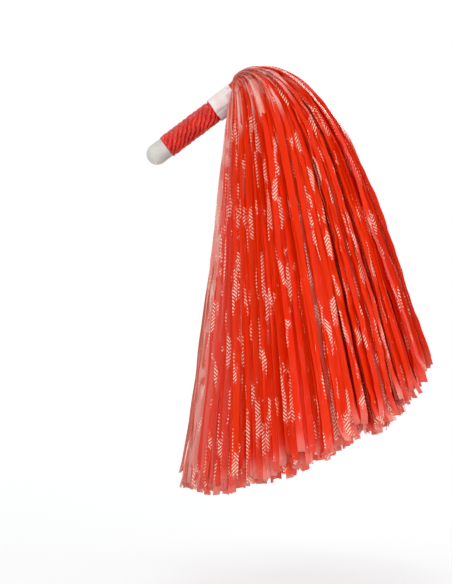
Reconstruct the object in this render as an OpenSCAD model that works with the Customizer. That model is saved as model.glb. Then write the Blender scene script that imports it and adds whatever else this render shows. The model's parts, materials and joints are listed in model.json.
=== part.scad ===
// Cheer pom pom: a short white stick with a domed end cap, wound with red film where the hand
// holds it. Two fringed sheets of film are rolled round its head and taped down. Their
// streamers stand up as a crown, arch over, and hang as a skirt of tufts that swing outwards.
// Millimetres, +Z up. The origin is the middle of the grip, on the handle's axis.

/* [Handle] */
// Slope of the handle above the horizontal, in degrees
handle_tilt = 37; // [30:1:42]
// Outer diameter of the plastic tube
tube_d = 18; // [15:0.5:24]
// Wall of the plastic tube
tube_wall = 1.5; // [1:0.1:2.5]
// Length of the film-wound grip, from the cap to the head
grip_length = 54; // [44:1:80]
// Thickness of the film wound on the grip
grip_film = 0.95; // [0.5:0.05:1.5]

/* [End cap and head plug] */
// Length of the white domed cap beyond the grip
cap_length = 20; // [16:0.5:30]
// How far the cap stands inside the wound grip's surface, all round
cap_step = 0.3; // [0.1:0.05:0.5]
// Wall of the cap and of the head plug
plug_wall = 1.5; // [1:0.1:2.5]
// Depth of both spigots inside the tube
spigot_length = 10; // [6:0.5:16]
// Thickness of the head plug's flange
plug_flange = 2; // [1:0.25:4]

/* [Head] */
// Length of the rolled headers of the fringed sheets
header_length = 26; // [20:1:34]
// Thickness of each rolled header
header_film = 0.7; // [0.5:0.05:1.5]
// Width of the wide tape band
band_width = 20; // [12:0.5:24]
// Width of the narrow tape strip near the head's end
strip_width = 8; // [4:0.5:12]
// Thickness of one turn of tape
tape_film = 0.3; // [0.2:0.05:0.5]
// Bare header between the tape and each end of the head
tape_margin = 1; // [0.5:0.25:3]

/* [Fringe] */
// Length of a streamer, from the head to its cut end
streamer_length = 365; // [280:5:420]
// Number of tufts round the skirt, in each of its two layers
sectors = 12; // [8:1:16]
// Half of the arc that the skirt fills; the handle comes out of what is left
skirt_half_arc = 131; // [110:1:134]
// Arc length over which the outermost streamers bend down on the far side
far_bend = 52; // [40:1:65]
// Arc length over which the outermost streamers bend down beside the handle
near_bend = 11; // [9:0.5:15]
// Arc length over which a streamer in the middle of the skirt would bend down
inner_bend = 7; // [6:0.5:10]
// Outward lean of the outermost streamers on the far side, in degrees
far_lean = 18.3; // [12:0.1:22]
// Outward lean of the outermost streamers beside the handle, in degrees
near_lean = 7.5; // [4:0.1:10]
// Outward lean of a streamer in the middle of the skirt, in degrees
inner_lean = -1; // [-1.5:0.1:1]
// Slope at which the outermost streamers leave the head, in degrees
outer_rise = 66; // [55:1:75]
// Slope at which a streamer in the middle of the skirt would leave the head, in degrees
inner_rise = 10; // [0:1:25]
// Share by which the tufts beside the handle spread round it towards the hem
spread = 0.25; // [0:0.01:0.27]
// Depth of the innermost tufts, as a share of the way out from the skirt's hollow core
core_depth = 0.4; // [0.3:0.01:0.5]
// Depth at which the two layers of tufts meet
middle_depth = 0.68; // [0.62:0.01:0.76]

/* [Clearances] */
// Radial clearance between pieces that fit into or round each other
fit_gap = 0.05; // [0.02:0.01:0.1]
// Gap between the head and the crown, and between the crown and the tufts
seat_gap = 0.4; // [0.2:0.05:0.6]
// Gap between neighbouring tufts, in degrees round the skirt
sector_gap = 1.2; // [0.8:0.1:2]
// Gap between the two layers, as a share of the skirt's depth
layer_gap = 0.05; // [0.03:0.01:0.08]

/* [Hidden] */
white = "whitesmoke";
film_red = "red";
tube_r = tube_d / 2;
bore_r = tube_r - tube_wall;
spigot_r = bore_r - fit_gap;
grip_r = tube_r + fit_gap + grip_film;
cap_r = grip_r - cap_step;

// Stations along the handle's axis, counted from the middle of the grip.
grip_start = -grip_length / 2;
grip_end = grip_length / 2;
head_end = grip_end + header_length;

// Each wound layer starts one fit_gap outside the one below it.
inner_header_r = tube_r + fit_gap;
outer_header_r = inner_header_r + header_film + fit_gap;
band_r = outer_header_r + header_film + fit_gap;
strip_r = band_r + tape_film + fit_gap;

// The streamers leave the head within this radius.
root_r = outer_header_r + header_film / 2;
root_arc = 80;       // half of the head's rim that the skirt's half arc is spread over, in degrees
hang = -90;          // slope of a streamer that hangs straight down
lean_power = 1.5;    // how fast bend and lean fall off from the far side to the handle
cut_bends = 1.3;     // bend lengths from the head to where crown gives way to tuft
cut_share = 0.4;     // how far every layer's cut follows the outermost streamers' cut
crown_rings = 10;
tuft_rings = 14;
ring_power = 1.5;    // closes up the rings near the crown, where the streamers bend most
steps_per_sector = 2;

handle_axis = [cos(handle_tilt), 0, sin(handle_tilt)];
head_up = [-sin(handle_tilt), 0, cos(handle_tilt)];
crown_base = (head_end + seat_gap) * handle_axis;

layers = ["inner", "outer"];
function two_digits(i) = i < 10 ? str("0", i) : str(i);
function tuft_name(layer, i) = str(layers[layer], "_tuft_", two_digits(i + 1));
function crown_name(layer) = str(layers[layer], "_crown");

// A streamer is named by the direction that it falls in (turn, in degrees, 0 away from the
// handle) and its depth in the skirt (0 in the middle, 1 outermost).
function mix(a, b, share) = a + (b - a) * share;
function far_share(turn) = pow((1 + cos(turn)) / 2, lean_power);
function outer_bend(turn) = mix(near_bend, far_bend, far_share(turn));
function bend(turn, depth) = mix(inner_bend, outer_bend(turn), depth);
function lean(turn, depth) = mix(inner_lean, mix(near_lean, far_lean, far_share(turn)), depth);
function rise(depth) = mix(inner_rise, outer_rise, depth);

// Slope of the streamer at arc length s, and the direction that it has turned to by then.
function slope(turn, depth, s) =
    let (end = hang + lean(turn, depth))
    end + (rise(depth) - end) * exp(-s / bend(turn, depth));
function heading(turn, s) =
    turn * (1 + spread * pow(turn / skirt_half_arc, 2) * s / streamer_length);
function step(turn, depth, s) =
    let (up = slope(turn, depth, s), round = heading(turn, s))
    [cos(up) * cos(round), cos(up) * sin(round), sin(up)];

// Where the streamer leaves the head's end face.
function root(turn, depth) =
    let (round = turn * root_arc / skirt_half_arc,
         height = 2 * (depth - core_depth) / (1 - core_depth) - 1)
    crown_base + root_r * (height * cos(round) * head_up + [0, sin(round), 0]);

// Arc length at which the crown ends and the tuft begins.
function cut(turn, depth) =
    cut_bends * mix(bend(turn, depth), outer_bend(turn), cut_share);

// Arc lengths of the rings of a crown and of a tuft, and of the whole streamer.
function crown_stations(turn, depth) =
    [for (k = [0 : crown_rings]) cut(turn, depth) * k / crown_rings];
function tuft_stations(turn, depth) =
    let (start = cut(turn, depth) + seat_gap)
    [for (k = [0 : tuft_rings])
        mix(start, streamer_length, pow(k / tuft_rings, ring_power))];

// The streamer's points at those arc lengths, from the head to the cut end.
function streamer(turn, depth) =
    let (s = concat(crown_stations(turn, depth), tuft_stations(turn, depth)))
    [for (i = 0, p = root(turn, depth);
          i < len(s);
          p = i + 1 < len(s)
              ? p + (s[i + 1] - s[i]) * step(turn, depth, (s[i] + s[i + 1]) / 2)
              : p,
          i = i + 1) p];

// The closed solid that the streamers fill between two turns and two depths, from ring
// first to ring last of the streamers' points.
module streamer_block(turns, inner_depth, outer_depth, first, last) {
    n = len(turns);
    inside = [for (t = turns) streamer(t, inner_depth)];
    outside = [for (t = turns) streamer(t, outer_depth)];
    ring_size = 2 * n;
    rings = last - first;
    points = [for (k = [first : last])
        each concat([for (j = [0 : n - 1]) inside[j][k]],
                    [for (j = [n - 1 : -1 : 0]) outside[j][k]])];
    sides = [for (k = [0 : rings - 1], j = [0 : ring_size - 1])
        let (a = k * ring_size + j, b = k * ring_size + (j + 1) % ring_size)
        each [[a, a + ring_size, b + ring_size], [a, b + ring_size, b]]];
    top = [for (j = [0 : n - 2])
        each [[j, j + 1, ring_size - 2 - j], [j, ring_size - 2 - j, ring_size - 1 - j]]];
    bottom = [for (f = top) [for (v = [f[2], f[1], f[0]]) v + rings * ring_size]];
    polyhedron(points = points, faces = concat(sides, top, bottom));
}

function sector_edge(i) = skirt_half_arc * (2 * i / sectors - 1);
function evenly(a, b, steps) = [for (k = [0 : steps]) mix(a, b, k / steps)];
function layer_depths(layer) =
    layer == 0 ? [core_depth, middle_depth - layer_gap / 2]
               : [middle_depth + layer_gap / 2, 1];

// The part of one layer's streamers that stands on the head and arches over.
module crown(layer) {
    depths = layer_depths(layer);
    turns = evenly(sector_edge(0) + sector_gap / 2, sector_edge(sectors) - sector_gap / 2,
                   sectors * steps_per_sector);
    color(film_red) streamer_block(turns, depths[0], depths[1], 0, crown_rings);
}

// One tuft of a layer: the streamers of one sector, from the crown down to their cut ends.
module tuft(layer, i) {
    depths = layer_depths(layer);
    turns = evenly(sector_edge(i) + sector_gap / 2, sector_edge(i + 1) - sector_gap / 2,
                   steps_per_sector);
    color(film_red)
        streamer_block(turns, depths[0], depths[1], crown_rings + 1, crown_rings + 1 + tuft_rings);
}

module along_handle(station) {
    rotate([0, 90 - handle_tilt, 0]) translate([0, 0, station]) children();
}

// A sleeve of wound film or tape on the handle's axis.
module sleeve(inner_r, film, start, end) {
    along_handle(start) difference() {
        cylinder(r = inner_r + film, h = end - start, $fn = 96);
        translate([0, 0, -1]) cylinder(r = inner_r, h = end - start + 2, $fn = 96);
    }
}

module handle_tube() {
    color(white) sleeve(bore_r, tube_wall, grip_start, head_end - plug_flange);
}

// The domed end: a hollow cap with a spigot that is pressed into the tube.
module end_cap() {
    dome_centre = cap_r - cap_length;
    hollow_r = spigot_r - plug_wall;
    color(white) along_handle(grip_start) difference() {
        union() {
            translate([0, 0, dome_centre]) sphere(r = cap_r, $fn = 96);
            translate([0, 0, dome_centre]) cylinder(r = cap_r, h = -dome_centre, $fn = 96);
            cylinder(r = spigot_r, h = spigot_length, $fn = 96);
        }
        translate([0, 0, dome_centre]) sphere(r = hollow_r, $fn = 96);
        translate([0, 0, dome_centre])
            cylinder(r = hollow_r, h = spigot_length - dome_centre + 1, $fn = 96);
    }
}

// Closes the tube under the crown: a flange on the tube's end and a hollow spigot inside it.
module head_plug() {
    color(white) along_handle(head_end - plug_flange) difference() {
        union() {
            cylinder(r = tube_r, h = plug_flange, $fn = 96);
            translate([0, 0, -spigot_length]) cylinder(r = spigot_r, h = spigot_length, $fn = 96);
        }
        translate([0, 0, -spigot_length - 1])
            cylinder(r = spigot_r - plug_wall, h = spigot_length + 1, $fn = 96);
    }
}

module grip_film_wrap() {
    color(film_red) sleeve(tube_r + fit_gap, grip_film, grip_start, grip_end);
}

module inner_header() {
    color(film_red) sleeve(inner_header_r, header_film, grip_end, head_end);
}

module outer_header() {
    color(film_red) sleeve(outer_header_r, header_film, grip_end, head_end);
}

module tape_band() {
    start = grip_end + tape_margin;
    color(white) sleeve(band_r, tape_film, start, start + band_width);
}

module tape_strip() {
    end = head_end - tape_margin;
    color(white) sleeve(strip_r, tape_film, end - strip_width, end);
}

handle_tube();
end_cap();
head_plug();
grip_film_wrap();
inner_header();
outer_header();
tape_band();
tape_strip();
for (layer = [0, 1]) {
    crown(layer);
    for (i = [0 : sectors - 1]) {
        tuft(layer, i);
    }
}
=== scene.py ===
"""Looks of the cheer pom pom: embossed film streamers, wound grip film, tape and end cap."""

import json
import math

import bmesh
import bpy
import numpy as np
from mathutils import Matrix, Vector, noise

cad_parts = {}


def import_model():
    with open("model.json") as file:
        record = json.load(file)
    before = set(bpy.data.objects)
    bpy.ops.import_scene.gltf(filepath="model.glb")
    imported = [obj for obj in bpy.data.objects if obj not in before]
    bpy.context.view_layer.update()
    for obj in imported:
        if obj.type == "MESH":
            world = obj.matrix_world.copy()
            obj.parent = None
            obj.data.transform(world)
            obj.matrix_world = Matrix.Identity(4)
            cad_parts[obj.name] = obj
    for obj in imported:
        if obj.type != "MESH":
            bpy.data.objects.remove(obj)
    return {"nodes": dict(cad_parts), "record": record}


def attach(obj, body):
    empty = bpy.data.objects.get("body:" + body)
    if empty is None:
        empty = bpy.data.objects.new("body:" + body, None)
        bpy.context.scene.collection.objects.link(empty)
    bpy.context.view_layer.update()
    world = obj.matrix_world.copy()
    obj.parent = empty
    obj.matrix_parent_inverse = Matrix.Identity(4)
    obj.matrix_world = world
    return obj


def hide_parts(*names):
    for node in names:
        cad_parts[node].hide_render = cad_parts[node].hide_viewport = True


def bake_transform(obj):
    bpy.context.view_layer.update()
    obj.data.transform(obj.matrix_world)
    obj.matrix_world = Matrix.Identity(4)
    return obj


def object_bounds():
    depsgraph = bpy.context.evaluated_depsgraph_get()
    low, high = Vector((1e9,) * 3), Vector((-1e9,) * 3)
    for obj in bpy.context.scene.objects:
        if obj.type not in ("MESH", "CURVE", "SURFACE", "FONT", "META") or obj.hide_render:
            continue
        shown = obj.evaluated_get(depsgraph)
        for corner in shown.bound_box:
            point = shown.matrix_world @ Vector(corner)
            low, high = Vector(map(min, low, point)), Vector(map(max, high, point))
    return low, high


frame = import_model()
cad_low, cad_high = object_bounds()

MM = 0.001
SEED = 20

# ---------------------------------------------------------------- the frame's own places
grip_mount = next(m for m in frame["record"]["mounts"] if m["name"] == "grip")
HANDLE_AXIS = -np.array(grip_mount["axis"], float)
HEAD_UP = np.array([-HANDLE_AXIS[2], 0.0, HANDLE_AXIS[0]])
SIDEWAYS = np.array([0.0, 1.0, 0.0])


def node_points(node):
    """A CAD node's vertices as an array."""
    return np.array([v.co for v in frame["nodes"][node].data.vertices], float)


def stations(node):
    """Where a CAD node starts and ends along the handle's axis."""
    station = node_points(node) @ HANDLE_AXIS
    return station.min(), station.max()


def outer_radius(node):
    """How far a CAD node reaches from the handle's axis."""
    points = node_points(node)
    along_axis = np.outer(points @ HANDLE_AXIS, HANDLE_AXIS)
    return np.linalg.norm(points - along_axis, axis=1).max()


def round_handle(station, angle, radius):
    """The point at a station, an angle from the top of the handle, and a radius."""
    across = np.cos(angle)[..., None] * HEAD_UP + np.sin(angle)[..., None] * SIDEWAYS
    return station[..., None] * HANDLE_AXIS + radius[..., None] * across


ROOT_TUCK = 0.6 * MM  # how far back under the wide tape the roots start
CROWN_GAP = 0.4 * MM  # between the rolled headers and the crown
HEADER_RADIUS = (outer_radius("inner_header"), outer_radius("outer_header"))
ROOT_STATION = stations("tape_band")[1] - ROOT_TUCK
UNDER_TAPE = stations("outer_header")[1] + CROWN_GAP - ROOT_STATION

# ---------------------------------------------------------------- the fringe's sizes
# Turns, arcs, bends, leans and rises are as in the solid tufts. Turn is the direction that a
# streamer falls in, in degrees, 0 straight ahead of the handle. Depth goes from 0 at the
# skirt's core to 1 at its outside.
STREAMER_LENGTH = 365 * MM
STREAMER_WIDTH = 6.4 * MM
FILM_THICKNESS = 0.16 * MM
FACETS_ACROSS = 2
STATIONS = 60
SECTORS = 12
SKIRT_HALF_ARC = 131.0
ROOT_ARC = 80.0
SPREAD = 0.25
LEAN_POWER = 1.5
FAR_BEND, NEAR_BEND, INNER_BEND = 52 * MM, 11 * MM, 7 * MM
FAR_LEAN, NEAR_LEAN, INNER_LEAN = 18.3, 7.5, -1.0
OUTER_RISE, INNER_RISE = 66.0, 10.0
CUT_BENDS, CUT_SHARE = 1.3, 0.4
CROWN_SHARE = 0.8  # share of the crown's length at which a streamer passes to its tuft
MIDDLE_DEPTH = 0.68

# For each layer, its depths, its crowding, the power that gathers its streamers outwards
# when it is under 1, the flick of their tips, how loosely they wave, their tilt, and the
# share that is twisted.
LAYERS = {
    "inner": {"depths": (0.04, MIDDLE_DEPTH), "crowding": 4.6, "gather": 0.8, "flick": 9,
              "loose": 1.8, "tilt": 32, "twisted": 0.3, "seed": 3},
    "outer": {"depths": (MIDDLE_DEPTH, 1.0), "crowding": 9.4, "gather": 0.3, "flick": 14,
              "loose": 1.0, "tilt": 9, "twisted": 0.07, "seed": 7},
}

# How far the skirt and the head reach, to work out how many streamers fill an arc.
NEAR_REACH, FAR_REACH, HEAD_REACH = 0.030, 0.170, 0.028
REACH_DEPTH = 0.6

# The trimmed hem: its height by X, and how steeply it rises sideways.
HEM_X = np.array([-60, 38, 79, 144, 174, 212, 240]) * MM
HEM_Z = np.array([-327, -325, -315, -283, -269, -218, -180]) * MM
HEM_SIDE_RISE = 0.115
TRIAL_LENGTH = 1.15 * STREAMER_LENGTH
TRIAL_STATIONS = 200

# Streamers are bunched into locks, which differ a little in lean and length.
LOCK_WIDTH = 26 * MM
LOCK_LEAN, LOCK_TRIM = 0.4, 1.8 * MM
BUNCHING = 0.09

# Wavelengths of a streamer's random waves, in metres, and their strengths.
SLOPE_WAVES, SLOPE_STRENGTH = (0.06, 0.11, 0.2), 1.2
HEADING_WAVES, HEADING_STRENGTH = (0.09, 0.17, 0.33), 2.6
ROLL_WAVES, ROLL_STRENGTH = (0.07, 0.13, 0.26), 4.0
CRINKLE_WAVES, CRINKLE_STRENGTH = (0.022, 0.037), 0.22 * MM


def mix(a, b, share):
    """A value between a and b."""
    return a + (b - a) * share


def smooth(x):
    """0 below 0, 1 above 1, and a smooth step between them."""
    x = np.clip(x, 0.0, 1.0)
    return x * x * (3 - 2 * x)


def unit(v):
    """Vectors brought to length 1."""
    return v / np.linalg.norm(v, axis=-1, keepdims=True)


def far_share(turn):
    """1 straight ahead of the handle, and falling to 0 behind it."""
    return ((1 + np.cos(np.radians(turn))) / 2) ** LEAN_POWER


def outer_bend(turn):
    """The arc length over which the outermost streamers turn down."""
    return mix(NEAR_BEND, FAR_BEND, far_share(turn))


def crown_length(turn, depth):
    """Arc length at which a streamer passes from the crown into its tuft."""
    bend = mix(INNER_BEND, outer_bend(turn), depth)
    return CUT_BENDS * mix(bend, outer_bend(turn), CUT_SHARE)


def sector_edge(i):
    """The turn at which a sector starts."""
    return SKIRT_HALF_ARC * (2 * i / SECTORS - 1)


# ---------------------------------------------------------------- how each streamer hangs
# In these functions, an array with one column holds one value for each streamer, and its
# other columns, if it has them, follow the streamer from its root to its cut end.
def some(rng, each, share):
    """True for a random share of the streamers."""
    return rng.uniform(0, 1, each) < share


def waves(rng, s, lengths, strength):
    """A smooth random curve for each streamer, from a few sines along it."""
    each = (len(s), 1)
    total = np.zeros(s.shape)
    for length in lengths:
        phase = rng.uniform(0, 2 * math.pi, each)
        size = rng.normal(0, strength, each)
        stretch = rng.uniform(0.75, 1.3, each)
        total += size * np.sin(2 * math.pi * s / (length * stretch) + phase)
    return total


def hem_height(x, y):
    """How high the trimmed hem hangs: lowest by the handle, and rising away from it."""
    return np.interp(x, HEM_X, HEM_Z) + HEM_SIDE_RISE * np.abs(y)


def leaving(s):
    """0 where streamers still lie along the handle, and 1 once they have left it."""
    return smooth((s - 3 * MM) / (13 * MM))


def slope_and_heading(s, turn, bend, rise, end):
    """How steeply streamers run at arc lengths s, and which way, in degrees."""
    free = np.maximum(s - UNDER_TAPE, 0)
    slope = end + (rise - end) * np.exp(-free / bend)
    heading = turn * (1 + SPREAD * (turn / SKIRT_HALF_ARC) ** 2 * free / STREAMER_LENGTH)
    return slope, heading


def fall_line(s, root, slope, heading):
    """Points and directions of streamers that leave the head along the handle's axis and
    then turn to the given slopes and headings, in radians."""
    falling = np.stack([np.cos(slope) * np.cos(heading), np.cos(slope) * np.sin(heading),
                        np.sin(slope)], axis=-1)
    tangent = unit(mix(HANDLE_AXIS, falling, leaving(s)[..., None]))
    step = np.diff(s, axis=1)[..., None] * (tangent[:, 1:] + tangent[:, :-1]) / 2
    start = np.zeros((len(s), 1, 3))
    return root[:, None, :] + np.concatenate([start, np.cumsum(step, 1)], 1), tangent


def side_by_side(rng, manner, low, high):
    """Turns and depths of a tuft's streamers, which lie side by side, and the middle turn,
    lean and extra length of the lock that each is bunched in."""
    shallow, deep = manner["depths"]
    skirt_reach = mix(NEAR_REACH, FAR_REACH, far_share((low + high) / 2))
    skirt_reach = skirt_reach * mix(shallow, deep, REACH_DEPTH)
    arc = math.radians(high - low) * (skirt_reach + HEAD_REACH)
    count = int(arc / STREAMER_WIDTH * manner["crowding"])
    turn = low + (high - low) * (np.arange(count) + rng.uniform(0.1, 0.9, count)) / count
    depth = shallow + (deep - shallow) * rng.uniform(0, 1, count) ** manner["gather"]
    locks = max(2, int(arc / LOCK_WIDTH))
    lock = np.clip(((turn - low) / (high - low) * locks).astype(int), 0, locks - 1)
    lock_turn = low + (high - low) * (lock + 0.5) / locks
    lock_lean = rng.normal(0, LOCK_LEAN, locks)[lock]
    lock_trim = rng.normal(0, LOCK_TRIM, locks)[lock]
    return [values[:, None] for values in (turn, depth, lock_turn, lock_lean, lock_trim)]


def way_down(rng, turn, depth, lock_lean):
    """How each streamer bends, its first and last slope in degrees, and whether it is arched
    or hangs apart."""
    each = turn.shape
    # Those beside the handle drop from the head more steeply than the others.
    droop = smooth((np.abs(turn) - 62) / 45)
    bend = mix(INNER_BEND, outer_bend(turn), depth) * rng.uniform(0.96, 1.04, each)
    bend = mix(bend, 7.5 * MM, 0.8 * droop)
    rise = mix(INNER_RISE, OUTER_RISE, depth) + rng.normal(0, 1.5, each)
    rise = mix(rise, 12.0, 0.9 * droop)
    # Some of the outermost ones rise more steeply before they fall.
    arched = (depth > 0.9) * (turn > -70) * some(rng, each, 0.3)
    rise = rise + arched * rng.uniform(5, 24, each)
    bend = bend * (1 - 0.24 * arched)
    lean = mix(INNER_LEAN, mix(NEAR_LEAN, FAR_LEAN, far_share(turn)), depth)
    end = -90 + lean + lock_lean + rng.normal(0, 0.3, each)
    # A few beside the handle hang a little apart from the rest.
    apart = (np.abs(turn) > 104) * (depth > 0.7) * some(rng, each, 0.2)
    end = end + apart * rng.uniform(-0.6, 0.6, each)
    return bend, rise, end, arched, apart


def roots(rng, turn, depth):
    """Where each streamer starts, under the tape's end, and the direction across it there:
    outermost streamers on top of the handle, innermost below."""
    turn, depth = turn[:, 0], depth[:, 0]
    root_turn = np.radians(turn * ROOT_ARC / SKIRT_HALF_ARC)
    sign = np.where(root_turn < 0, -1.0, 1.0)
    angle = mix(sign * math.pi - root_turn, root_turn, smooth(depth * 1.3))
    radius = rng.uniform(HEADER_RADIUS[0] - 0.6 * MM, HEADER_RADIUS[1] - 0.1 * MM, len(turn))
    root = round_handle(np.full(len(turn), ROOT_STATION), angle, radius)
    return root, np.cos(angle)[:, None] * SIDEWAYS - np.sin(angle)[:, None] * HEAD_UP


def trimmed_length(rng, root, turn, bend, rise, end, lock_trim):
    """How long each streamer has to be to reach the hem, unevenly trimmed."""
    trial = np.linspace(0, TRIAL_LENGTH, TRIAL_STATIONS)[None, :] + 0 * turn
    slope, heading = slope_and_heading(trial, turn, bend, rise, end)
    drop, _ = fall_line(trial, root, np.radians(slope), np.radians(heading))
    above = (drop[..., 2] > hem_height(drop[..., 0], drop[..., 1])).sum(1)
    length = trial[0, np.minimum(above, TRIAL_STATIONS - 1)][:, None] + lock_trim
    uneven = rng.normal(0, 2.6 * MM, turn.shape)
    return length + uneven - 9 * MM * rng.uniform(0, 1, turn.shape) ** 5


def rolled(rng, manner, s, turn, tangent, side):
    """The directions across and through each strip of film, tilted and twisted on its way."""
    each, along = turn.shape, s / STREAMER_LENGTH
    side = unit(side - (side * tangent).sum(-1, keepdims=True) * tangent)
    face = np.cross(tangent, side)
    ahead = smooth(1 - np.abs(turn) / 80)
    tilt = rng.normal(0, manner["tilt"], each) * (1 + 2.4 * ahead)
    twisted = some(rng, each, manner["twisted"])
    twist = twisted * rng.normal(0, 200, each) * smooth((along - 0.08) / 0.9)
    roll = tilt * smooth(along * 5) + twist
    sway = waves(rng, s, ROLL_WAVES, ROLL_STRENGTH * manner["loose"])
    roll = np.radians(roll + sway * smooth(along * 4))[..., None]
    return (np.cos(roll) * side + np.sin(roll) * face,
            np.cos(roll) * face - np.sin(roll) * side)


def painted_light_and_paleness(rng, s, length, turn, depth, arched, apart):
    """How pale the film is painted along each streamer: from 0, deep red, through 1, pink, to 2,
    almost white. Most of it is painted light: a painted glow of light through the thin film
    beside the handle, on loose strips and at the cut ends, and painted highlights as sheen
    streaks near the head and over arches. A few strips are paler at random."""
    each = turn.shape
    # Painted glow: strips at the sides, beside the handle, are painted paler for light coming
    # through the thin film.
    beside = smooth((np.abs(turn) - 84) / 34) * smooth((depth - 0.6) / 0.3)
    odd = some(rng, each, 0.05) * rng.uniform(0.2, 0.5, each)
    # Most of the outer ones get a painted highlight, a pale sheen streak, where they leave the
    # head.
    streak_at, streak_long = rng.uniform(0.012, 0.07, each), rng.uniform(0.008, 0.028, each)
    painted_sheen = (depth > 0.75) * some(rng, each, 0.85) * rng.uniform(0.7, 2.0, each)
    painted_sheen = painted_sheen * smooth(1.5 - np.abs(s - streak_at) / streak_long)
    # Random strength of the painted glow beside the handle.
    glow_strength = np.where(some(rng, each, 0.3), rng.uniform(0.8, 1.2, each),
                     rng.uniform(0.1, 0.75, each))
    # Loose strips that hang apart get the same painted glow; a few odd strips are simply paler at
    # random.
    pale_and_painted_light = np.maximum(np.maximum(beside * glow_strength, odd), apart * rng.uniform(0.5, 1.3, each))
    # Painted highlight: arched strips are painted pale over the top of their arch.
    over_arch = smooth(1.4 - s / 0.09)
    pale_and_painted_light = np.maximum(pale_and_painted_light, arched * rng.uniform(0.4, 1.0, each) * over_arch)
    pale_and_painted_light = np.maximum(pale_and_painted_light, painted_sheen)
    # Painted glow of light through the thin film near the cut ends.
    cut_end = smooth((s - length + 22 * MM) / (22 * MM))
    return np.maximum(pale_and_painted_light, cut_end * rng.uniform(0.05, 0.85, each))


def streamers(layer, sector):
    """The centre lines of one tuft's streamers, from the head to their cut ends, with the
    directions across and through the film, as a dict of arrays."""
    manner = LAYERS[layer]
    rng = np.random.default_rng(SEED + 100 * sector + manner["seed"])
    turn, depth, lock_turn, lock_lean, lock_trim = side_by_side(
        rng, manner, sector_edge(sector), sector_edge(sector + 1))
    each = turn.shape
    bend, rise, end, arched, apart = way_down(rng, turn, depth, lock_lean)
    root, root_side = roots(rng, turn, depth)
    length = trimmed_length(rng, root, turn, bend, rise, end, lock_trim)

    s = length * np.linspace(0, 1, STATIONS) ** 1.35
    along = s / STREAMER_LENGTH
    slope, heading = slope_and_heading(s, turn, bend, rise, end)
    flick = rng.normal(0, manner["flick"], each)
    slope = slope + flick * smooth((s - length + 34 * MM) / (34 * MM)) ** 2
    slope = slope + waves(rng, s, SLOPE_WAVES, SLOPE_STRENGTH) * smooth(along * 4)
    stray = HEADING_STRENGTH * manner["loose"] * (1 + 0.8 * smooth((np.abs(turn) - 100) / 20))
    heading = heading + stray * waves(rng, s, HEADING_WAVES, 1.0) * smooth(along * 3)
    slope, heading = np.radians(slope), np.radians(heading)
    place, tangent = fall_line(s, root, slope, heading)

    level = np.stack([-np.sin(heading), np.cos(heading), np.zeros_like(heading)], -1)
    halfway = np.sin(math.pi * np.clip(along * 1.1, 0, 1)) ** 2
    bunch = np.radians(BUNCHING * (lock_turn - turn) * halfway)
    out_from_root = np.linalg.norm((place - root[:, None, :])[..., :2], axis=-1)
    place = place + (bunch * out_from_root)[..., None] * level

    side = mix(root_side[:, None, :], level, leaving(s)[..., None])
    side, face = rolled(rng, manner, s, turn, tangent, side)
    place = place + face * waves(rng, s, CRINKLE_WAVES, CRINKLE_STRENGTH)[..., None]

    slant = np.zeros_like(s)
    slant[:, -1] = rng.normal(0, 0.16, len(s))
    pale_and_painted_light = painted_light_and_paleness(rng, s, length, turn, depth, arched, apart)
    return {
        "place": place, "side": side, "face": face,
        "slant": slant[..., None] * tangent,
        "width": np.broadcast_to(STREAMER_WIDTH * rng.uniform(0.88, 1.1, each), s.shape),
        "camber": np.broadcast_to(rng.normal(0.0, 0.08, each), s.shape),
        "along": s + rng.uniform(0, 1, each),
        "tone": np.broadcast_to(rng.uniform(0, 1, each), s.shape),
        "pale_and_painted_light": pale_and_painted_light,
        "arc": s - UNDER_TAPE, "turn": turn[:, 0], "depth": depth[:, 0], "tangent": tangent,
    }


GUIDE_VECTORS = ("side", "face", "slant")
GUIDE_NUMBERS = ("width", "camber", "along", "tone", "pale_and_painted_light")
NOT_KEPT = ("place", "side", "face", "slant", "width", "camber", "along", "across", "through")


def guide_object(name, runs):
    """A mesh of loose edges, one run for each streamer, that carries what the tree reads."""
    mesh = bpy.data.meshes.new(name)
    points = np.concatenate([r["place"] for r in runs])
    sizes = [len(r["place"]) for r in runs]
    starts = np.concatenate([[0], np.cumsum(sizes)[:-1]])
    edges = np.concatenate([np.stack([np.arange(a, a + n - 1), np.arange(a + 1, a + n)], 1)
                            for a, n in zip(starts, sizes)])
    mesh.from_pydata(points.tolist(), edges.tolist(), [])
    for key in GUIDE_VECTORS:
        values = np.concatenate([r[key] for r in runs]).astype(np.float32)
        stored = mesh.attributes.new(key, "FLOAT_VECTOR", "POINT")
        stored.data.foreach_set("vector", values.ravel())
    for key in GUIDE_NUMBERS:
        values = np.concatenate([r[key] for r in runs]).astype(np.float32)
        mesh.attributes.new(key, "FLOAT", "POINT").data.foreach_set("value", values)
    guide = bpy.data.objects.new(name, mesh)
    bpy.context.scene.collection.objects.link(guide)
    return guide


# ---------------------------------------------------------------- node helpers
def add(tree, kind, inputs=None, **settings):
    """Adds a node, sets it, and links or fills its inputs by name or number."""
    node = tree.nodes.new(kind)
    for key, value in settings.items():
        setattr(node, key, value)
    for key, value in (inputs or {}).items():
        if isinstance(value, bpy.types.NodeSocket):
            tree.links.new(value, node.inputs[key])
        else:
            node.inputs[key].default_value = value
    return node


def calc(tree, operation, a, b=0.0, c=0.0):
    """A Math node's result."""
    return add(tree, "ShaderNodeMath", {0: a, 1: b, 2: c}, operation=operation).outputs[0]


def mix_value(tree, share, a, b):
    """A number between the plain numbers a and b."""
    return calc(tree, "MULTIPLY_ADD", share, b - a, a)


def spread_map(tree, value, low, high, to_low, to_high):
    """A value's range from low to high, stretched to another range and held inside it."""
    return add(tree, "ShaderNodeMapRange",
               {0: value, 1: low, 2: high, 3: to_low, 4: to_high}).outputs[0]


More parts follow.
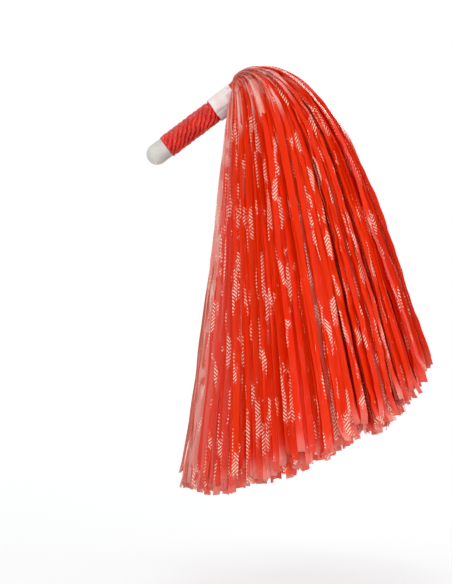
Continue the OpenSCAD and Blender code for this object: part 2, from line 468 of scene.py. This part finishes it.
def blend_colour(tree, share, a, b):
    """A colour between a and b."""
    node = add(tree, "ShaderNodeMix", {"Factor": share}, data_type="RGBA")
    for socket, value in ((node.inputs[6], a), (node.inputs[7], b)):
        if isinstance(value, bpy.types.NodeSocket):
            tree.links.new(value, socket)
        else:
            socket.default_value = (*value, 1)
    return node.outputs[2]


def vector_sum(tree, *vectors):
    """The sum of some vectors."""
    total = vectors[0]
    for v in vectors[1:]:
        total = add(tree, "ShaderNodeVectorMath", {0: total, 1: v}, operation="ADD").outputs[0]
    return total


def scaled(tree, vector, by):
    """A vector times a number."""
    return add(tree, "ShaderNodeVectorMath", {"Vector": vector, "Scale": by},
               operation="SCALE").outputs[0]


def carried(tree, name, kind="FLOAT"):
    """An attribute that the guides carry."""
    return add(tree, "GeometryNodeInputNamedAttribute", {"Name": name},
               data_type=kind).outputs[0]


def store(tree, geometry, name, value, kind="FLOAT", domain="POINT"):
    """The geometry, with a value stored on it by name."""
    return add(tree, "GeometryNodeStoreNamedAttribute",
               {"Geometry": geometry, "Name": name, "Value": value},
               data_type=kind, domain=domain).outputs["Geometry"]


def film_strip_tree():
    """Geometry Nodes: sweeps a thin cambered strip of film along each guide."""
    tree = bpy.data.node_groups.new("film strips", "GeometryNodeTree")
    face = tree.interface
    face.new_socket("Geometry", in_out="INPUT", socket_type="NodeSocketGeometry")
    face.new_socket("Film Thickness", in_out="INPUT", socket_type="NodeSocketFloat")
    face.new_socket("Facets Across", in_out="INPUT", socket_type="NodeSocketInt")
    face.new_socket("Film", in_out="INPUT", socket_type="NodeSocketMaterial")
    face.new_socket("Geometry", in_out="OUTPUT", socket_type="NodeSocketGeometry")
    start = tree.nodes.new("NodeGroupInput").outputs
    end = tree.nodes.new("NodeGroupOutput")

    # The strip's section: one row of points on the outer face, and one back on the inner.
    row = calc(tree, "ADD", start["Facets Across"], 1.0)
    loop = add(tree, "GeometryNodeCurvePrimitiveCircle",
               {"Resolution": calc(tree, "MULTIPLY", row, 2.0), "Radius": 1.0}).outputs["Curve"]
    centre = calc(tree, "SUBTRACT", row, 0.5)
    index = tree.nodes.new("GeometryNodeInputIndex").outputs[0]
    from_centre = calc(tree, "SUBTRACT", centre, index)
    rank = calc(tree, "SUBTRACT", centre, calc(tree, "ABSOLUTE", from_centre))
    across = calc(tree, "SUBTRACT", calc(tree, "DIVIDE", rank, start["Facets Across"]), 0.5)
    loop = store(tree, loop, "across", across)
    loop = store(tree, loop, "through", calc(tree, "SIGN", from_centre))

    curve = add(tree, "GeometryNodeMeshToCurve", {"Mesh": start["Geometry"]}).outputs["Curve"]
    place = tree.nodes.new("GeometryNodeInputPosition").outputs[0]
    curve = store(tree, curve, "place", place, "FLOAT_VECTOR")
    strip = add(tree, "GeometryNodeCurveToMesh",
                {"Curve": curve, "Profile Curve": loop, "Fill Caps": True}).outputs["Mesh"]

    # Across goes from -0.5 to 0.5, so 4 (0.25 - across squared) bows from 0 at the edges to 1.
    across, width = carried(tree, "across"), carried(tree, "width")
    sideways = calc(tree, "MULTIPLY", across, width)
    bow = calc(tree, "SUBTRACT", 0.25, calc(tree, "MULTIPLY", across, across))
    bow = calc(tree, "MULTIPLY", calc(tree, "MULTIPLY", bow, 4.0),
               calc(tree, "MULTIPLY", carried(tree, "camber"), width))
    half = calc(tree, "MULTIPLY", start["Film Thickness"], 0.5)
    rise = calc(tree, "ADD", bow, calc(tree, "MULTIPLY", carried(tree, "through"), half))
    position = vector_sum(
        tree, carried(tree, "place", "FLOAT_VECTOR"),
        scaled(tree, carried(tree, "side", "FLOAT_VECTOR"), sideways),
        scaled(tree, carried(tree, "face", "FLOAT_VECTOR"), rise),
        scaled(tree, carried(tree, "slant", "FLOAT_VECTOR"), sideways))
    strip = add(tree, "GeometryNodeSetPosition",
                {"Geometry": strip, "Position": position}).outputs["Geometry"]

    film_map = add(tree, "ShaderNodeCombineXYZ", {0: sideways, 1: carried(tree, "along")})
    strip = store(tree, strip, "UVMap", film_map.outputs[0], "FLOAT2", "CORNER")
    edge = calc(tree, "GREATER_THAN", calc(tree, "ABSOLUTE", across), 0.499)
    strip = store(tree, strip, "sharp_edge", edge, "BOOLEAN", "EDGE")
    strip = add(tree, "GeometryNodeRealizeInstances", {"Geometry": strip}).outputs["Geometry"]
    strip = add(tree, "GeometryNodeSetMaterial",
                {"Geometry": strip, "Material": start["Film"]}).outputs["Geometry"]
    tree.links.new(strip, end.inputs["Geometry"])
    return tree


def grown(guide, tree, **values):
    """The plain mesh object that the tree makes of a guide, with its faces turned outwards."""
    modifier = guide.modifiers.new("strips", "NODES")
    modifier.node_group = tree
    for item in tree.interface.items_tree:
        if item.in_out == "INPUT" and item.name in values:
            modifier[item.identifier] = values[item.name]
    evaluated = guide.evaluated_get(bpy.context.evaluated_depsgraph_get())
    mesh = bpy.data.meshes.new_from_object(evaluated)
    name = guide.name
    guide_mesh = guide.data
    bpy.data.objects.remove(guide)
    bpy.data.meshes.remove(guide_mesh)
    mesh.name = name
    for key in NOT_KEPT:
        if key in mesh.attributes:
            mesh.attributes.remove(mesh.attributes[key])
    shape = bmesh.new()
    shape.from_mesh(mesh)
    bmesh.ops.recalc_face_normals(shape, faces=shape.faces)
    shape.to_mesh(mesh)
    shape.free()
    mesh.shade_smooth()
    grown_object = bpy.data.objects.new(name, mesh)
    bpy.context.scene.collection.objects.link(grown_object)
    return grown_object


# ---------------------------------------------------------------- finishes
FILM_DEEP = (0.83, 0.026, 0.001)
FILM_BRIGHT = (0.92, 0.046, 0.001)
# Pink and near white mixed in by the paleness: mostly painted light, a painted glow of light
# through thin film and painted sheen highlights; a few strips are pink at random.
FILM_PINK_AND_PAINTED_GLOW = (0.92, 0.42, 0.36)
FILM_PAINTED_WHITE_LIGHT = (1.0, 0.74, 0.69)
FILM_THROUGH = (0.99, 0.30, 0.18)
PALE_THROUGH = (1.0, 0.66, 0.60)
# The pale colour of the painted glints on the emboss ridges.
RIDGE_PAINTED_GLINT = (1.0, 0.80, 0.64)
RIDGE_PITCH, RIDGE_HEIGHT = 3.1 * MM, 0.06 * MM
GRIP_DEEP, GRIP_BRIGHT = (0.52, 0.008, 0.003), (0.74, 0.020, 0.004)
GRIP_FOLD_HEIGHT = 0.8 * MM
# The darker pink tape colour is painted shade in the hollows of the creases.
TAPE_PAINTED_CREASE_SHADE, TAPE_FLAT = (0.80, 0.64, 0.63), (0.86, 0.79, 0.78)
TAPE_THREAD, TAPE_CREASE_HEIGHT = 0.9 * MM, 0.3 * MM
CAP_LIGHT, CAP_SHADE = (0.61, 0.60, 0.55), (0.51, 0.50, 0.46)
TUBE_LIGHT, TUBE_SHADE = (0.78, 0.77, 0.75), (0.70, 0.69, 0.67)
PLASTIC_GRAIN_HEIGHT = 0.08 * MM


def material(name):
    """A new material, with its tree, its main shader and its output."""
    mat = bpy.data.materials.new(name)
    mat.use_nodes = True
    tree = mat.node_tree
    tree.nodes.clear()
    output = tree.nodes.new("ShaderNodeOutputMaterial")
    shader = tree.nodes.new("ShaderNodeBsdfPrincipled")
    tree.links.new(shader.outputs[0], output.inputs["Surface"])
    return mat, tree, shader, output


def emboss(tree, u, v, pitch):
    """Two sets of fine diagonal ridges that cross each other, each from -1 to 1."""
    k = 2 * math.pi / pitch
    one = calc(tree, "SINE", calc(tree, "MULTIPLY", calc(tree, "ADD", u, v), k))
    other = calc(tree, "SINE", calc(tree, "MULTIPLY", calc(tree, "SUBTRACT", u, v), k))
    return one, other


def streamer_film():
    """Glossy red film with a crossed emboss, which lets some light through. In patches the ridges
    carry painted highlights, pale glints painted into the colour, and in each place one set of
    them stands out."""
    mat, tree, shader, output = material("streamer_film")
    film_map = add(tree, "ShaderNodeUVMap", uv_map="UVMap").outputs[0]
    uv = add(tree, "ShaderNodeSeparateXYZ", {0: film_map}).outputs
    tone = add(tree, "ShaderNodeAttribute", attribute_name="tone").outputs["Fac"]
    pale_and_painted_light = add(tree, "ShaderNodeAttribute", attribute_name="pale_and_painted_light").outputs["Fac"]
    one, other = emboss(tree, uv[0], uv[1], RIDGE_PITCH)
    own_place = add(tree, "ShaderNodeCombineXYZ",
                    {0: calc(tree, "MULTIPLY", uv[0], 4.0), 1: uv[1], 2: tone}).outputs[0]
    turns = add(tree, "ShaderNodeTexNoise", {"Scale": 55.0, "Detail": 0.0, "Vector": own_place})
    leaning = spread_map(tree, turns.outputs["Fac"], 0.46, 0.54, 0.0, 1.0)
    ridges = calc(tree, "ADD",
                  calc(tree, "MULTIPLY", one, mix_value(tree, leaning, 1.0, 0.2)),
                  calc(tree, "MULTIPLY", other, mix_value(tree, leaning, 0.2, 1.0)))
    # Painted highlights: patches where the emboss ridges are painted as pale glints.
    glint_cloud = add(tree, "ShaderNodeTexNoise", {"Scale": 26.0, "Detail": 4.0, "Vector": own_place})
    glint_patch = spread_map(tree, glint_cloud.outputs["Fac"], 0.565, 0.60, 0.0, 1.0)
    glint_stroke = spread_map(tree, ridges, 0.25, 0.5, 0.0, 1.0)
    body = blend_colour(tree, tone, FILM_DEEP, FILM_BRIGHT)
    # Painted glow and painted highlights from the paleness attribute: towards pink, then near
    # white.
    body = blend_colour(tree, pale_and_painted_light, body, FILM_PINK_AND_PAINTED_GLOW)
    body = blend_colour(tree, calc(tree, "SUBTRACT", pale_and_painted_light, 1.0), body, FILM_PAINTED_WHITE_LIGHT)
    painted_glint = calc(tree, "MULTIPLY", glint_patch, glint_stroke)
    colour = blend_colour(tree, painted_glint, body, RIDGE_PAINTED_GLINT)
    bump = add(tree, "ShaderNodeBump",
               {"Strength": 1.0, "Distance": RIDGE_HEIGHT, "Height": ridges})
    cloud = add(tree, "ShaderNodeTexNoise", {"Scale": 40.0, "Detail": 2.0, "Vector": film_map})
    tree.links.new(colour, shader.inputs["Base Color"])
    tree.links.new(spread_map(tree, cloud.outputs["Fac"], 0.3, 0.7, 0.13, 0.24),
                   shader.inputs["Roughness"])
    tree.links.new(bump.outputs[0], shader.inputs["Normal"])
    shader.inputs["IOR"].default_value = 1.42
    shader.inputs["Specular IOR Level"].default_value = 0.2
    glow = blend_colour(tree, calc(tree, "MAXIMUM", pale_and_painted_light, painted_glint), FILM_THROUGH, PALE_THROUGH)
    through = add(tree, "ShaderNodeBsdfTranslucent", {"Color": glow})
    thin = mix_value(tree, painted_glint, 0.45, 0.15)
    both = add(tree, "ShaderNodeMixShader",
               {0: thin, 1: shader.outputs[0], 2: through.outputs[0]})
    tree.links.new(both.outputs[0], output.inputs["Surface"])
    return mat


def grip_film_finish():
    """The same film, wound tight and crinkled: deeper red, with small sharp folds."""
    mat, tree, shader, _ = material("grip_film")
    place = add(tree, "ShaderNodeTexCoord").outputs["Object"]
    folds = add(tree, "ShaderNodeTexNoise", {"Vector": place, "Scale": 170.0, "Detail": 2.0})
    cloud = add(tree, "ShaderNodeTexNoise", {"Vector": place, "Scale": 90.0, "Detail": 2.0})
    share = spread_map(tree, cloud.outputs["Fac"], 0.35, 0.65, 0.0, 1.0)
    colour = blend_colour(tree, share, GRIP_DEEP, GRIP_BRIGHT)
    bump = add(tree, "ShaderNodeBump", {"Strength": 0.6, "Distance": GRIP_FOLD_HEIGHT,
                                        "Height": folds.outputs["Fac"]})
    tree.links.new(colour, shader.inputs["Base Color"])
    tree.links.new(bump.outputs[0], shader.inputs["Normal"])
    tree.links.new(spread_map(tree, folds.outputs["Fac"], 0.3, 0.7, 0.1, 0.28),
                   shader.inputs["Roughness"])
    return mat


def tape_finish():
    """White adhesive cloth tape with a fine weave and faint creases, and painted shade: darker
    pink in the hollows of the creases.
    """
    mat, tree, shader, _ = material("tape")
    place = add(tree, "ShaderNodeTexCoord").outputs["Object"]
    film_map = add(tree, "ShaderNodeUVMap", uv_map="UVMap").outputs[0]
    uv = add(tree, "ShaderNodeSeparateXYZ", {0: film_map}).outputs
    threads = 2 * math.pi / TAPE_THREAD
    weave = calc(tree, "MULTIPLY", calc(tree, "SINE", calc(tree, "MULTIPLY", uv[0], threads)),
                 calc(tree, "SINE", calc(tree, "MULTIPLY", uv[1], threads)))
    crease = add(tree, "ShaderNodeTexNoise", {"Vector": place, "Scale": 160.0, "Detail": 3.0})
    height = calc(tree, "ADD", calc(tree, "MULTIPLY", weave, 0.12), crease.outputs["Fac"])
    # Painted shade: the crease noise that shapes the bump also darkens the colour in its hollows.
    share = spread_map(tree, crease.outputs["Fac"], 0.35, 0.65, 0.0, 1.0)
    colour = blend_colour(tree, share, TAPE_PAINTED_CREASE_SHADE, TAPE_FLAT)
    bump = add(tree, "ShaderNodeBump",
               {"Strength": 0.6, "Distance": TAPE_CREASE_HEIGHT, "Height": height})
    tree.links.new(colour, shader.inputs["Base Color"])
    tree.links.new(bump.outputs[0], shader.inputs["Normal"])
    shader.inputs["Roughness"].default_value = 0.55
    return mat


def moulded_plastic(name, light, shade):
    """White moulded plastic with a faint mottle."""
    mat, tree, shader, _ = material(name)
    place = add(tree, "ShaderNodeTexCoord").outputs["Object"]
    grain = add(tree, "ShaderNodeTexNoise", {"Vector": place, "Scale": 900.0, "Detail": 2.0})
    mottle = add(tree, "ShaderNodeTexNoise", {"Vector": place, "Scale": 60.0, "Detail": 3.0})
    share = spread_map(tree, mottle.outputs["Fac"], 0.35, 0.65, 0.0, 1.0)
    colour = blend_colour(tree, share, shade, light)
    bump = add(tree, "ShaderNodeBump", {"Strength": 0.35, "Distance": PLASTIC_GRAIN_HEIGHT,
                                        "Height": grain.outputs["Fac"]})
    tree.links.new(colour, shader.inputs["Base Color"])
    tree.links.new(bump.outputs[0], shader.inputs["Normal"])
    tree.links.new(spread_map(tree, mottle.outputs["Fac"], 0.3, 0.7, 0.36, 0.48),
                   shader.inputs["Roughness"])
    return mat


film = streamer_film()
grip_finish = grip_film_finish()
tape_white = tape_finish()
cap_plastic = moulded_plastic("cap_plastic", CAP_LIGHT, CAP_SHADE)
tube_plastic = moulded_plastic("tube_plastic", TUBE_LIGHT, TUBE_SHADE)


# ---------------------------------------------------------------- the streamers
def cut_runs(group, first, last):
    """Each streamer of a group as its own run of points, from station first to last."""
    keys = ("place",) + GUIDE_VECTORS + GUIDE_NUMBERS
    return [{k: group[k][i, first[i]:last[i]] for k in keys} for i in range(len(first))]


def film_strips(name, runs):
    """One piece made of all the strips of film that follow the runs."""
    return grown(guide_object(name, runs), strips,
                 **{"Film Thickness": FILM_THICKNESS, "Facets Across": FACETS_ACROSS,
                    "Film": film})


strips = film_strip_tree()
for layer in LAYERS:
    crown_runs = []
    for sector in range(SECTORS):
        tuft = f"{layer}_tuft_{sector + 1:02d}"
        group = streamers(layer, sector)
        crown_end = CROWN_SHARE * crown_length(group["turn"], group["depth"])
        split = (group["arc"] < crown_end[:, None]).sum(1)
        crown_runs += cut_runs(group, np.zeros(len(split), int), split + 1)
        tuft_runs = cut_runs(group, split, np.full(len(split), STATIONS))
        piece = film_strips(f"{tuft}_streamers", tuft_runs)
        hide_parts(tuft)
        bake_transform(piece)
    piece = film_strips(f"{layer}_crown_streamers", crown_runs)
    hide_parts(f"{layer}_crown")
    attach(piece, "handle")

# ---------------------------------------------------------------- wound film and tape
GRIP_ROWS, GRIP_COLUMNS = 161, 201
GRIP_FOLDS = 10
GRIP_TWIST = 2 * math.pi / (56 * MM)
TAPE_ROWS, TAPE_COLUMNS = 13, 150
TAPE_THICKNESS = 0.22 * MM
TAPE_CLEARANCE = 0.25 * MM  # from the plain sleeve's outside to the tape's outer face
OVERLAP_RISE = 0.26 * MM
LIFTED_FROM, LIFTED_OVER = 0.93, 0.07  # the free end's lift, in shares of the turn
MERGED_WITHIN = 0.005 * MM


def slab(name, outer, inner, film_map, mat, full_turn=False):
    """A closed thin solid between two grids of points, with its map in metres. A full turn
    meets itself, and so has walls at its two ends only."""
    rows, columns = outer.shape[:2]
    points = np.concatenate([outer.reshape(-1, 3), inner.reshape(-1, 3)])
    flat = np.concatenate([film_map.reshape(-1, 2)] * 2)
    number = np.arange(rows * columns).reshape(rows, columns)
    back = number + rows * columns
    faces = []
    for r in range(rows - 1):
        for c in range(columns - 1):
            faces.append((number[r, c], number[r, c + 1], number[r + 1, c + 1], number[r + 1, c]))
            faces.append((back[r, c], back[r + 1, c], back[r + 1, c + 1], back[r, c + 1]))
    rim = ([(0, c) for c in range(columns)] + [(r, columns - 1) for r in range(1, rows)]
           + [(rows - 1, c) for c in range(columns - 2, -1, -1)]
           + [(r, 0) for r in range(rows - 2, 0, -1)])
    for a, b in zip(rim, rim[1:] + rim[:1]):
        if a[0] == b[0] or not full_turn:
            faces.append((number[a], back[a], back[b], number[b]))
    mesh = bpy.data.meshes.new(name)
    mesh.from_pydata(points.tolist(), [], [tuple(int(i) for i in f) for f in faces])
    layer_map = mesh.uv_layers.new(name="UVMap")
    corners = np.array([flat[loop.vertex_index] for loop in mesh.loops], np.float32)
    layer_map.data.foreach_set("uv", corners.ravel())
    shape = bmesh.new()
    shape.from_mesh(mesh)
    bmesh.ops.remove_doubles(shape, verts=shape.verts, dist=MERGED_WITHIN)
    bmesh.ops.recalc_face_normals(shape, faces=shape.faces)
    shape.to_mesh(mesh)
    shape.free()
    mesh.shade_smooth()
    mesh.set_sharp_from_angle(angle=math.radians(50))
    mesh.materials.append(mat)
    piece = bpy.data.objects.new(name, mesh)
    bpy.context.scene.collection.objects.link(piece)
    return piece


def fold_height(angle, station):
    """How far the grip's film bulges at a place, from about 0 to 1: rounded folds that wind
    along the handle, pinched and crossed by smaller creases."""
    z = station / MM
    around = Vector((math.cos(angle) * 1.4, math.sin(angle) * 1.4, z * 0.11))
    sway = noise.noise(around) + 0.3 * noise.noise(around * 2.6)
    phase = GRIP_FOLDS * (angle / 2 - station * GRIP_TWIST / 2) + 1.1 * sway
    fold = abs(math.sin(phase)) ** 0.75
    pinch = 0.5 + 0.5 * noise.noise(around * 1.9 + Vector((7, 3, 1)))
    skew = Vector((math.cos(angle) * 4, math.sin(angle) * 4, z * 0.2))
    crease = 1 - min(1.0, abs(noise.noise(skew)) * 5)
    return 0.1 + fold * (0.6 + 0.4 * pinch) - 0.3 * crease * pinch


def twisted_grip_film():
    """Streamer film twisted round the tube, in folds that lie flatter at its two ends."""
    start, end = stations("grip_film_wrap")
    tube, outside = outer_radius("handle_tube"), outer_radius("grip_film_wrap")
    station = np.linspace(start, end, GRIP_ROWS)[:, None] + np.zeros((1, GRIP_COLUMNS))
    angle = np.linspace(0, 2 * math.pi, GRIP_COLUMNS)[None, :] + np.zeros((GRIP_ROWS, 1))
    bulge = np.vectorize(fold_height)(angle, station)
    bulge[:, -1] = bulge[:, 0]
    ends = smooth((station - start) / (1.6 * MM)) * smooth((end - station) / (1.2 * MM))
    height = (outside - tube + 0.8 * MM) * np.clip(bulge, 0, 1) * mix(0.4, 1, ends)
    outer = round_handle(station, angle, tube + 0.1 * MM + height)
    inner = round_handle(station, angle, 0 * height + tube + 0.02 * MM)
    film_map = np.stack([station, angle * tube], -1)
    return slab("grip_film", outer, inner, film_map, grip_finish, full_turn=True)


def wound_tape(name, node, free_end, overlap, lift, creases, seed):
    """A turn of tape with its free end lying on its start."""
    start, end = stations(node)
    radius_out = outer_radius(node)
    first = free_end - 2 * math.pi - overlap
    angle = np.linspace(first, free_end, TAPE_COLUMNS)[None, :]
    over = np.linspace(0, 1, TAPE_ROWS)[:, None]
    progress = (angle - angle[0, 0]) / (angle[0, -1] - angle[0, 0])
    station = (mix(start, end, over) + 0.35 * MM * np.sin(angle * 2 + seed)
               + 0.5 * MM * (progress - 0.5))
    on_itself = smooth((angle - angle[0, 0] - 2 * math.pi + 0.05) / 0.12)
    lifted = smooth((progress - LIFTED_FROM) / LIFTED_OVER) ** 3
    rough = np.zeros(station.shape)
    for i in range(TAPE_ROWS):
        for j in range(TAPE_COLUMNS):
            a, w = angle[0, j], over[i, 0]
            rough[i, j] = (0.5 * noise.noise(Vector((a * 2.6, w * 2.4, seed)))
                           + 0.35 * noise.noise(Vector((a * 7.0, w * 1.1, seed + 9))))
    radius = radius_out + TAPE_CLEARANCE + OVERLAP_RISE * on_itself + lift * lifted
    radius = radius + creases * (rough + 0.5)
    angle = angle + 0 * over
    outer = round_handle(station, angle, radius)
    inner = round_handle(station, angle, radius - TAPE_THICKNESS)
    film_map = np.stack([over * (end - start) + 0 * angle, angle * radius_out], -1)
    return slab(name, outer, inner, film_map, tape_white)


grip = twisted_grip_film()
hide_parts("grip_film_wrap")
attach(grip, "handle")

band = wound_tape("tape_wide_turn", "tape_band", free_end=math.radians(-98), overlap=0.5,
                  lift=1.7 * MM, creases=0.7 * MM, seed=3.0)
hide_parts("tape_band")
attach(band, "handle")

strip = wound_tape("tape_narrow_turn", "tape_strip", free_end=math.radians(-70), overlap=0.4,
                   lift=1.6 * MM, creases=0.7 * MM, seed=8.0)
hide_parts("tape_strip")
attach(strip, "handle")

CAD_FINISHES = {
    "end_cap": cap_plastic, "handle_tube": tube_plastic, "head_plug": tube_plastic,
    "inner_header": grip_finish, "outer_header": grip_finish,
}
for node, finish in CAD_FINISHES.items():
    frame["nodes"][node].data.materials.clear()
    frame["nodes"][node].data.materials.append(finish)

# ---------------------------------------------------------------- stage, light and camera
CENTRE = (0.033, 0.0, -0.148)
WHITE = (1, 1, 1, 1)
FLOOR_HALF_SIDE = 8.0
FLOOR_BELOW = 0.09
FLOOR_COLOUR = (0.90, 0.92, 0.94, 1)
EVEN_LIGHT = 0.75
SENSOR = 36
CAMERA_DISTANCE = 1.6
VIEW_HEIGHT = 0.532

# Each lamp's name, place, size and power.
LAMPS = (
    ("key", (-0.75, -1.25, 0.75), 0.24, 2.3),
    ("front", (0.22, -1.75, 0.02), 0.22, 3.0),
    ("low", (-0.1, -1.35, -0.32), 0.16, 1.6),
    ("right", (1.3, -0.85, 0.05), 0.4, 5.0),
    ("behind", (0.5, 1.2, 0.5), 0.5, 5.0),
    ("above", (0.15, -0.45, 1.2), 0.3, 2.5),
)


def seen(tree):
    """1 for what the camera sees, straight or in gloss or through glass, and 0 for light."""
    path = tree.nodes.new("ShaderNodeLightPath").outputs
    return calc(tree, "MAXIMUM", path["Is Camera Ray"],
                calc(tree, "MAXIMUM", path["Is Glossy Ray"], path["Is Transmission Ray"]))


def floor():
    """A pale floor that keeps the object's shadow and melts into the white surround."""
    side = FLOOR_HALF_SIDE
    level = cad_low[2] - FLOOR_BELOW
    mesh = bpy.data.meshes.new("floor")
    mesh.from_pydata([(-side, -side, level), (side, -side, level), (side, side, level),
                      (-side, side, level)], [], [(0, 1, 2, 3)])
    mat, tree, shader, output = material("floor_paint")
    shader.inputs["Base Color"].default_value = FLOOR_COLOUR
    shader.inputs["Roughness"].default_value = 0.8
    place = add(tree, "ShaderNodeTexCoord").outputs["Object"]
    away = add(tree, "ShaderNodeVectorMath", {0: place, 1: (CENTRE[0], CENTRE[1], level)},
               operation="DISTANCE").outputs["Value"]
    far = spread_map(tree, away, 0.25, 1.1, 0.55, 1.0)
    white = add(tree, "ShaderNodeEmission", {"Color": WHITE, "Strength": 1.0})
    both = add(tree, "ShaderNodeMixShader", {0: calc(tree, "MULTIPLY", seen(tree), far),
                                             1: shader.outputs[0], 2: white.outputs[0]})
    tree.links.new(both.outputs[0], output.inputs["Surface"])
    mesh.materials.append(mat)
    ground = bpy.data.objects.new("floor", mesh)
    bpy.context.scene.collection.objects.link(ground)


def world():
    """Even light all round, and a white surround for the camera and for reflections."""
    surround = bpy.data.worlds.new("surround")
    bpy.context.scene.world = surround
    surround.use_nodes = True
    tree = surround.node_tree
    tree.nodes.clear()
    light = add(tree, "ShaderNodeBackground", {"Color": WHITE, "Strength": EVEN_LIGHT})
    white = add(tree, "ShaderNodeBackground", {"Color": WHITE, "Strength": 1.0})
    both = add(tree, "ShaderNodeMixShader",
               {0: seen(tree), 1: light.outputs[0], 2: white.outputs[0]})
    output = tree.nodes.new("ShaderNodeOutputWorld")
    tree.links.new(both.outputs[0], output.inputs["Surface"])


def lamp(name, place, size, power):
    """A soft square lamp, aimed at the middle of the view."""
    light = bpy.data.lights.new(name, "AREA")
    light.shape = "SQUARE"
    light.size = size
    light.energy = power
    lit = bpy.data.objects.new(name, light)
    lit.location = place
    lit.rotation_euler = (Vector(CENTRE) - Vector(place)).to_track_quat("-Z", "Y").to_euler()
    bpy.context.scene.collection.objects.link(lit)


floor()
world()
for name, place, size, power in LAMPS:
    lamp(name, place, size, power)

camera_data = bpy.data.cameras.new("camera")
camera_data.lens = SENSOR * CAMERA_DISTANCE / VIEW_HEIGHT
camera_data.sensor_width = SENSOR
camera = bpy.data.objects.new("camera", camera_data)
camera.location = (CENTRE[0], -CAMERA_DISTANCE, CENTRE[2])
camera.rotation_euler = (math.radians(90), 0, 0)
bpy.context.scene.collection.objects.link(camera)
bpy.context.scene.camera = camera
bpy.context.scene.view_settings.view_transform = "Standard"
